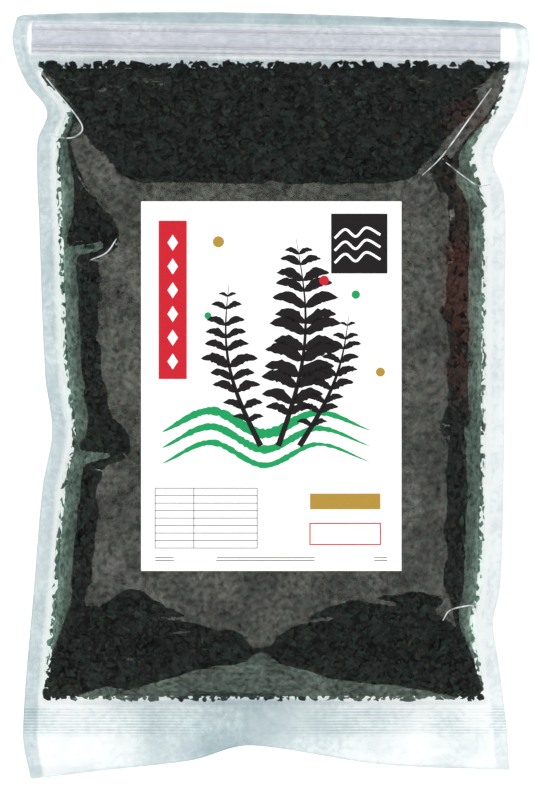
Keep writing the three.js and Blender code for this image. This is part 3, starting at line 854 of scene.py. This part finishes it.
def frond(root, tip, bend, lobes, reach, rng):
    """A seaweed frond: a tapering rib and wavy lobes to both sides, longest below the middle."""
    share = np.linspace(0, 1, 40)[:, None]
    rib = (1 - share) * np.array(root, float) + share * np.array(tip, float)
    rib[:, 0] += bend * np.sin(np.pi * share[:, 0])
    parts = [stroke(rib, 1.6 * (1.05 - share[:, 0]))]
    for place in np.linspace(0.16, 0.94, lobes):
        base = rib[int(place * 39)]
        length = reach * np.sin(np.pi * (0.12 + 0.8 * place)) * rng.uniform(0.8, 1.1)
        for side in (-1, 1):
            points = [base, base + (side * 0.5 * length, 0.32 * length), base + (side * length, 0.3 * length)]
            parts.append(brush(points, 0.36 * length, rng, 14))
    return parts


def lozenge(x, y, width, height):
    """A diamond as a short stroke that swells and thins evenly."""
    level = np.linspace(-1, 1, 9)
    path = np.stack([np.full(9, x), y + level * height / 2], -1)
    return stroke(path, np.maximum(width / 2 * (1 - np.abs(level)), 0.05))


def dot(x, y, radius):
    """A round dot as a short stroke whose half width follows a circle."""
    angle = np.linspace(-0.48 * np.pi, 0.48 * np.pi, 13)
    path = np.stack([np.full(13, x), y + radius * np.sin(angle)], -1)
    return stroke(path, radius * np.cos(angle))


def label_inks(rng):
    """Printed strokes by ink, from the label's middle: fronds over waves, two panels, a ruled table."""
    wave = [(-62, -26), (-34, -14), (-4, -27), (26, -15), (56, -25)]
    waves = [brush([(x, y - 9 * row) for x, y in wave], 5.5 - row, rng, 90) for row in range(3)]
    fronds = (
        frond((4, -34), (14, 84), 10, 13, 21, rng)
        + frond((-6, -34), (-24, 58), -9, 10, 15, rng)
        + frond((16, -34), (44, 40), 6, 9, 13, rng)
    )
    crest = [(36, 70), (42, 75), (48, 71), (54, 76), (62, 72)]
    crests = [stroke(curve([(x, y + 7 * row) for x, y in crest], 40), 0.7) for row in range(3)]
    diamonds = [lozenge(-56, 14 + 13.5 * row, 6, 9) for row in range(6)]
    table = [stroke([(-66, level), (-37, level), (-8, level)], 0.18) for level in np.linspace(-92, -58, 9)]
    table += [stroke([(at, -92), (at, -75), (at, -58)], 0.18) for at in (-66, -44, -8)]
    rules = [stroke([(-66, level), (0, level), (66, level)], 0.22) for level in (-97.5, -99)]
    box = [stroke([(22, level), (42, level), (62, level)], 0.35) for level in (-90, -78)]
    box += [stroke([(at, -90.3), (at, -84), (at, -77.7)], 0.35) for at in (22, 62)]
    return {
        "green": waves + [dot(48, 52, 2.4), dot(-36, 40, 2.0)],
        "black": [rectangle(34, 64, 66, 98), *fronds, *table, *rules],
        "red": [rectangle(-64, 4, -48, 94), *box, dot(30, 60, 2.8)],
        "gold": [rectangle(22, -70, 62, -61), dot(-30, 82, 3.2), dot(62, 8, 2.6)],
        "paper": [*crests, *diamonds],
    }


def draw_places(rng, count, inset):
    """Random (x, y) over the fill, three times as many as are wanted, because some are dropped later."""
    y = rng.uniform(FOOT_LINE + inset, FLAKE_TOP - inset, 3 * count)
    share = rng.uniform(0, 1, 3 * count)
    x = (fill_left(y) + inset) * (1 - share) + (fill_right(y) - inset) * share
    return x, y


def flake_solid(shape, rng, x, y, surface, side, sizes):
    """Curled flakes as flat double pyramids on uneven rings: each lies near a film, tilted at random, and is
    moved until it is clear of both films. Returns the places of the vertices of those that fit."""
    count = len(x)
    step = 0.5
    slope_x = (surface(x + step, y) - surface(x - step, y)) / (2 * step)
    slope_y = (surface(x, y + step) - surface(x, y - step)) / (2 * step)
    normal = unit(np.stack([-slope_x, -slope_y, np.ones(count)], -1))
    facing = unit(normal + rng.normal(0, FLAKE_TILT, (count, 3)))
    turn = unit(rng.normal(0, 1, (count, 3)))
    along = unit(turn - facing * np.sum(turn * facing, -1, keepdims=True))
    across = np.cross(facing, along)
    length = sizes.flake_length / MM * rng.lognormal(0, FLAKE_SPREAD, count)
    width = length * rng.uniform(*FLAKE_WIDTH, count)
    ring = (count, FLAKE_SIDES)
    angle = 2 * np.pi * (np.arange(FLAKE_SIDES) + rng.uniform(-0.3, 0.3, ring)) / FLAKE_SIDES
    reach = rng.uniform(*FLAKE_REACH, ring)
    u = reach * np.cos(angle)
    v = reach * np.sin(angle)
    bend, twist = [rng.uniform(-FLAKE_CURL, FLAKE_CURL, (count, 1)) for _ in range(2)]
    curl = bend * (u**2 - 0.3) + twist * u * v
    lift = length[:, None] * (curl + rng.normal(0, FLAKE_CRUMPLE, ring))
    local = np.zeros((count, FLAKE_SIDES + 2, 3))
    local[:, :-2, 0] = u * length[:, None] / 2
    local[:, :-2, 1] = v * width[:, None] / 2
    local[:, :-2, 2] = lift
    local[:, -2, 2] = lift.mean(axis=1) + FLAKE_HALF_THICKNESS
    local[:, -1, 2] = lift.mean(axis=1) - FLAKE_HALF_THICKNESS
    axes = np.stack([along, across, facing], 1)
    depth = rng.exponential(FLAKE_DEPTH, count) + LEAST_DEPTH
    centre = np.stack([x, y, surface(x, y)], -1) + normal * (side * depth)[:, None]
    places = centre[:, None] + local @ axes
    px, py = places[..., 0], places[..., 1]
    high = shape.front(px, py) - FILM_CLEARANCE
    low = shape.back(px, py) + FILM_CLEARANCE
    places[..., 2] -= np.maximum((places[..., 2] - high).max(axis=1, keepdims=True), 0)
    places[..., 2] += np.maximum((low - places[..., 2]).max(axis=1, keepdims=True), 0)
    ends = np.minimum(py - FOOT_LINE, FLAKE_TOP - py)
    inset = np.minimum(np.minimum(px - fill_left(py), fill_right(py) - px), ends)
    least, more = RAGGED_EDGE
    ragged = least + more * lumps(centre[:, 0], centre[:, 1], RAGGED_CELL, shape.seed + 4) ** 2
    inside = inset > ragged[:, None]
    fits = ((places[..., 2] <= high + 0.05) & inside).all(axis=1)
    return places[fits]


def flake_triangles(count):
    """Corners of every flake: a fan from the upper middle to the ring, and one from the lower middle."""
    ring = np.arange(FLAKE_SIDES)
    ahead = np.roll(ring, -1)
    upper = np.stack([np.full(FLAKE_SIDES, FLAKE_SIDES), ring, ahead], -1)
    lower = np.stack([np.full(FLAKE_SIDES, FLAKE_SIDES + 1), ahead, ring], -1)
    start = np.arange(count)[:, None, None] * (FLAKE_SIDES + 2)
    return (np.concatenate([upper, lower])[None] + start).reshape(-1, 3)


def patch(x, y, middle, reach):
    return np.exp(-(((x - middle[0]) / reach[0]) ** 2) - ((y - middle[1]) / reach[1]) ** 2)


def flake_colours(rng, places):
    """Tone and brown share of each flake: random, lighter and greener near the rim as painted backlight,
    brown in two patches on the right as a painted red reflection.
    """
    x, y = places[:, :, 0].mean(axis=1), places[:, :, 1].mean(axis=1)
    side = np.minimum(np.minimum(x - fill_left(y), fill_right(y) - x), y - FOOT_LINE)
    # random tone, raised near the rim as painted backlight
    tone = np.clip(rng.normal(*FLAKE_TONE, len(x)) + RIM_PAINTED_BACKLIGHT * np.exp(-side / RIM_PAINTED_BACKLIGHT_REACH), 0, 1)
    # painted reflection: the two patches turn flakes reddish brown where a red band is reflected; the
    # scattered brown flakes are their own colour
    red = np.maximum(patch(x, y, *RED_REFLECTION_PATCH), patch(x, y, *RED_REFLECTION_CORNER))
    red = red * (0.8 + 0.5 * lumps(x, y, RED_REFLECTION_CELL, 11))
    stray = STRAY_BROWN * (rng.uniform(0, 1, len(x)) < STRAY_SHARE)
    brown = np.maximum(np.clip(1.3 * red - rng.uniform(0, 0.4, len(x)), 0, 1), stray)
    per_vertex = FLAKE_SIDES + 2
    return {"tone": np.repeat(tone, per_vertex), "brown": np.repeat(brown, per_vertex)}


class BuildFilms(bpy.types.Operator):
    """Make the front and back films, which the fill presses apart"""

    bl_idname = "wakame_pouch.films"
    bl_label = "Films"

    def execute(self, context):
        sizes = context.scene.wakame_pouch_sizes
        shape = PouchShape(sizes)
        material = clear_film(context.scene.wakame_pouch_colours)
        for name, node, surface, grid in (
            ("pouch_film_front", "film_front", shape.front, FRONT_GRID),
            ("pouch_film_back", "film_back", shape.back, BACK_GRID),
        ):
            x, y = outline_grid(*grid)
            height = surface(x, y)
            # steep drives the film's painted green reflection
            marks = {"haze": film_haze(x, y), "weld": foot_weld(x, y), "steep": steepness(x, y, height)}
            solid = sheet(x, y, height, shape.film)
            both_faces = {key: np.tile(values.ravel(), 2) for key, values in marks.items()}
            film = add_piece(name, solid, material, both_faces)
            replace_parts(film, node)
        return {"FINISHED"}


class BuildFoldLines(bpy.types.Operator):
    """Make the thin white lines, painted highlights, where the front film is folded over on itself"""

    bl_idname = "wakame_pouch.fold_lines"
    bl_label = "Fold lines"

    def execute(self, context):
        shape = PouchShape(context.scene.wakame_pouch_sizes)
        tubes = []
        for points in FOLD_LINES:
            path = curve(points, FOLD_LINE_STEPS * len(points))
            height = shape.front(path[:, 0], path[:, 1]) + FOLD_LINE_LIFT
            tubes.append(tube(np.column_stack([path, height]), FOLD_LINE_RADIUS))
        add_piece("film_fold_painted_highlights", join(tubes), fold_line_painted_highlight())
        return {"FINISHED"}


class BuildZip(bpy.types.Operator):
    """Make the two tapes of the zip, closed"""

    bl_idname = "wakame_pouch.zip"
    bl_label = "Zip"

    def tape(self, heights, tip, ridges, ridge_width, rim):
        """A strip with ridges on one face and fine lines on the other, carried along the zip. Returns the
        solid, and for each vertex how far it is on a fine crest or, below zero, in a fine groove."""
        half = ZIP_WIDTH / 2
        walls = np.array([place + side * ridge_width / 2 for place in ridges for side in (-1, 1)])
        even = np.linspace(-half, half, ZIP_ROWS)
        across = np.unique(np.concatenate([even, walls - WALL_SLOPE, walls + WALL_SLOPE]))
        along = np.linspace(*ZIP_ENDS, ZIP_COLUMNS)
        ridge = (np.abs(across[:, None] - np.array(ridges)) < ridge_width / 2).any(axis=1)
        crests, grooves = [
            np.exp(-(((across[:, None] - np.array(places)) / ZIP_LINE_WIDTH) ** 2)).sum(axis=1)
            for places in (ZIP_CRESTS, ZIP_GROOVES)
        ]
        lines = np.clip(crests - grooves, -1, 1)
        downward = tip < heights[0]
        upper = heights[1] + lines * ZIP_LINE_HEIGHT if downward else np.where(ridge, tip, heights[1])
        lower = np.where(ridge, tip, heights[0]) if downward else heights[0] - lines * ZIP_LINE_HEIGHT
        x, y = np.meshgrid(along, across)
        turned_x = x * np.cos(ZIP_TILT) - y * np.sin(ZIP_TILT)
        turned_y = x * np.sin(ZIP_TILT) + y * np.cos(ZIP_TILT) + ZIP_CENTRE_Y
        faces = [np.broadcast_to(rim + face[:, None], x.shape) for face in (upper, lower)]
        # the zip's material paints the fine crests lighter and the fine grooves darker from this: painted
        # highlight and painted shade
        crest = np.tile(np.broadcast_to(lines[:, None], x.shape).ravel(), 2)
        return slab(*[np.stack([turned_x, turned_y, face], -1) for face in faces]), {"crest": crest}

    def execute(self, context):
        rim = context.scene.wakame_pouch_sizes.rim_height / MM
        material = zip_polyethylene(context.scene.wakame_pouch_colours)
        walls = [place + side * WALL_STEP for place in RIB_PLACES for side in (-1, 1)]
        ribs = self.tape(RIB_TAPE, RIB_TIP, RIB_PLACES, RIB_WIDTH, rim)
        channels = self.tape(CHANNEL_TAPE, WALL_TIP, walls, WALL_WIDTH, rim)
        for name, (solid, marks), node in (
            ("zip_ribs", ribs, "zip_rib_tape"), ("zip_channels", channels, "zip_channel_tape"),
        ):
            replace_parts(add_piece(name, solid, material, marks, smooth=False), node)
        return {"FINISHED"}


class BuildLabel(bpy.types.Operator):
    """Make the paper label and the inks printed on it"""

    bl_idname = "wakame_pouch.label"
    bl_label = "Label"

    def execute(self, context):
        shape = PouchShape(context.scene.wakame_pouch_sizes)
        colours = context.scene.wakame_pouch_colours
        paper = printed_paper("Coated paper, white", colours.paper, 0.5)
        across, up = np.meshgrid(*[np.linspace(-0.5, 0.5, count) for count in LABEL_GRID])
        x = across * LABEL_WIDTH
        y = LABEL_CENTRE_Y + up * LABEL_HEIGHT
        label = sheet(x, y, label_height(shape, x, y), LABEL_PAPER)
        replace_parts(add_piece("paper_label", label, paper, smooth=False), "label")
        inks = {
            "green": colours.ink_green, "black": colours.ink_black, "red": colours.ink_red,
            "gold": colours.ink_gold, "paper": colours.paper,
        }
        for layer, (ink, strokes) in enumerate(label_inks(np.random.default_rng(shape.seed)).items()):
            bottom = LABEL_PAPER / 2 + INK_GAP + INK_STEP * layer
            solids = []
            for grid in strokes:
                x, y = grid[..., 0], grid[..., 1] + LABEL_CENTRE_Y
                base = label_height(shape, x, y) + bottom
                top = base + INK_THICKNESS
                solids.append(slab(np.stack([x, y, top], -1), np.stack([x, y, base], -1)))
            material = printed_paper(f"Offset ink, {ink}", inks[ink], 0.4)
            add_piece(f"label_ink_{ink}", join(solids), material, smooth=False)
        return {"FINISHED"}


class BuildWakame(bpy.types.Operator):
    """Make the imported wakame: a dark core, and the cut flakes that lie against both films"""

    bl_idname = "wakame_pouch.wakame"
    bl_label = "Wakame"

    def execute(self, context):
        sizes = context.scene.wakame_pouch_sizes
        shape = PouchShape(sizes)
        material = dried_blade(context.scene.wakame_pouch_colours)
        x, y = fill_grid(*CORE_GRID, CORE_INSET)
        middle = (shape.front(x, y) + shape.back(x, y)) / 2
        crumble = CORE_CRUMBLE * lumps(x, y, CORE_CRUMBLE_CELL, shape.seed + 2)
        upper = np.maximum(shape.front(x, y) - CORE_CLEARANCE + crumble, middle + CORE_HALF_THICKNESS)
        lower = np.minimum(shape.back(x, y) + CORE_CLEARANCE + crumble, middle - CORE_HALF_THICKNESS)
        core = slab(np.stack([x, y, upper], -1), np.stack([x, y, lower], -1))
        tones = {"tone": np.full(len(core[0]), CORE_TONE), "brown": np.zeros(len(core[0]))}
        piece = add_piece("wakame_core", core, material, tones, smooth=False)
        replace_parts(piece, "wakame_flakes")
        rng = np.random.default_rng(sizes.seed + 3)
        for name, surface, side, count in (
            ("wakame_flakes_front", shape.front, -1, sizes.front_flakes),
            ("wakame_flakes_back", shape.back, 1, sizes.back_flakes),
        ):
            x, y = draw_places(rng, count, 1.0)
            seen = beside_label(x, y) > 0 if side < 0 else np.ones(len(x), bool)
            x, y = x[seen], y[seen]
            places = flake_solid(shape, rng, x, y, surface, side, sizes)[:count]
            solid = places.reshape(-1, 3), flake_triangles(len(places))
            add_piece(name, solid, material, flake_colours(rng, places), smooth=False)
        return {"FINISHED"}


CAMERA_PLACE = (-0.000725, -0.001885, 1.8)
CAMERA_LENS = 91.8
CAMERA_SENSOR = 24
FLOOR_HALF = 3.0
FLOOR_LEVEL = -0.0003  # just below the pouch
PANEL_HEIGHT = 2.3
PANEL_WIDTH = 4.4
PANEL_ENDS = (-1.8, 2.2)
LAMPS = [
    ("Left lamp", (-1.4, 0.5, 1.1), 0.12, 0.5, 0.35),
    ("Right lamp", (1.5, 0.3, 1.2), 0.10, 0.4, 0.3),
]


class BuildStage(bpy.types.Operator):
    """Make the pale floor, the soft panel overhead, the small lamps, the room and the camera"""

    bl_idname = "wakame_pouch.stage"
    bl_label = "Stage"

    def floor(self, light):
        """White sweep, lit from below: a glow with matt white paint over it."""
        material, tree, output = new_material("White studio floor")
        glow = add_node(tree, "ShaderNodeEmission", {"Color": (1, 1, 1, 1), "Strength": light.floor})
        paint = add_node(tree, "ShaderNodeBsdfDiffuse", {"Color": (0.85, 0.85, 0.85, 1)})
        both = add_node(tree, "ShaderNodeAddShader", {0: glow.outputs[0], 1: paint.outputs[0]})
        tree.links.new(both.outputs[0], output.inputs["Surface"])
        mesh = bpy.data.meshes.new("floor")
        corners = [(x * FLOOR_HALF, y * FLOOR_HALF, 0) for x, y in ((-1, -1), (1, -1), (1, 1), (-1, 1))]
        mesh.from_pydata(corners, [], [(0, 1, 2, 3)])
        mesh.materials.append(material)
        return bpy.data.objects.new("floor", mesh)

    def area_light(self, name, place, target, width, height, radiance):
        """A rectangular light that faces the target. Its power is radiance times area times pi."""
        lamp = bpy.data.lights.new(name, "AREA")
        lamp.shape = "RECTANGLE"
        lamp.size = width
        lamp.size_y = height
        lamp.energy = radiance * width * height * np.pi
        holder = bpy.data.objects.new(name, lamp)
        holder.location = place
        toward = Vector(target) - holder.location
        holder.rotation_euler = toward.to_track_quat("-Z", "Y").to_euler()
        return holder

    def execute(self, context):
        scene = context.scene
        light = scene.wakame_pouch_light
        floor = self.floor(light)
        floor.location.z = FLOOR_LEVEL
        near, far = PANEL_ENDS
        middle = (near + far) / 2
        above, below = (0, middle, PANEL_HEIGHT), (0, middle, 0)
        made = [floor, self.area_light("Panel", above, below, PANEL_WIDTH, far - near, light.panel)]
        made += [
            self.area_light(name, place, (0, 0, 0), width, height, light.lamps * share)
            for name, place, width, height, share in LAMPS
        ]
        camera = bpy.data.cameras.new("Camera")
        camera.sensor_fit = "VERTICAL"
        camera.sensor_height = CAMERA_SENSOR
        camera.lens = CAMERA_LENS
        eye = bpy.data.objects.new("Camera", camera)
        eye.location = CAMERA_PLACE
        made.append(eye)
        for item in made:
            scene.collection.objects.link(item)
        scene.camera = eye
        world = bpy.data.worlds.new("Dim room")
        world.use_nodes = True
        background = world.node_tree.nodes["Background"]
        background.inputs["Color"].default_value = (1, 1, 1, 1)
        background.inputs["Strength"].default_value = light.room
        scene.world = world
        scene.view_settings.view_transform = "Standard"
        return {"FINISHED"}


BUILDERS = (BuildStage, BuildWakame, BuildFilms, BuildFoldLines, BuildZip, BuildLabel)


class PouchPanel(bpy.types.Panel):
    """Lists the settings and the operators"""

    bl_idname = "VIEW3D_PT_wakame_pouch"
    bl_label = "Wakame pouch"
    bl_space_type = "VIEW_3D"
    bl_region_type = "UI"
    bl_category = "Wakame pouch"

    def draw(self, context):
        scene = context.scene
        for group in (scene.wakame_pouch_sizes, scene.wakame_pouch_colours, scene.wakame_pouch_light):
            box = self.layout.box()
            for key in group.__annotations__:
                box.prop(group, key)
        for builder in BUILDERS:
            self.layout.operator(builder.bl_idname)


CLASSES = (PouchSizes, PouchColours, StageLight, *BUILDERS, PouchPanel)


def register():
    for item in CLASSES:
        bpy.utils.register_class(item)
    bpy.types.Scene.wakame_pouch_sizes = PointerProperty(type=PouchSizes)
    bpy.types.Scene.wakame_pouch_colours = PointerProperty(type=PouchColours)
    bpy.types.Scene.wakame_pouch_light = PointerProperty(type=StageLight)


def unregister():
    del bpy.types.Scene.wakame_pouch_light
    del bpy.types.Scene.wakame_pouch_colours
    del bpy.types.Scene.wakame_pouch_sizes
    for item in reversed(CLASSES):
        bpy.utils.unregister_class(item)


def main():
    register()
    bpy.ops.wakame_pouch.stage()
    bpy.ops.wakame_pouch.wakame()
    bpy.ops.wakame_pouch.films()
    bpy.ops.wakame_pouch.fold_lines()
    bpy.ops.wakame_pouch.zip()
    bpy.ops.wakame_pouch.label()


if __name__ == "__main__":
    main()
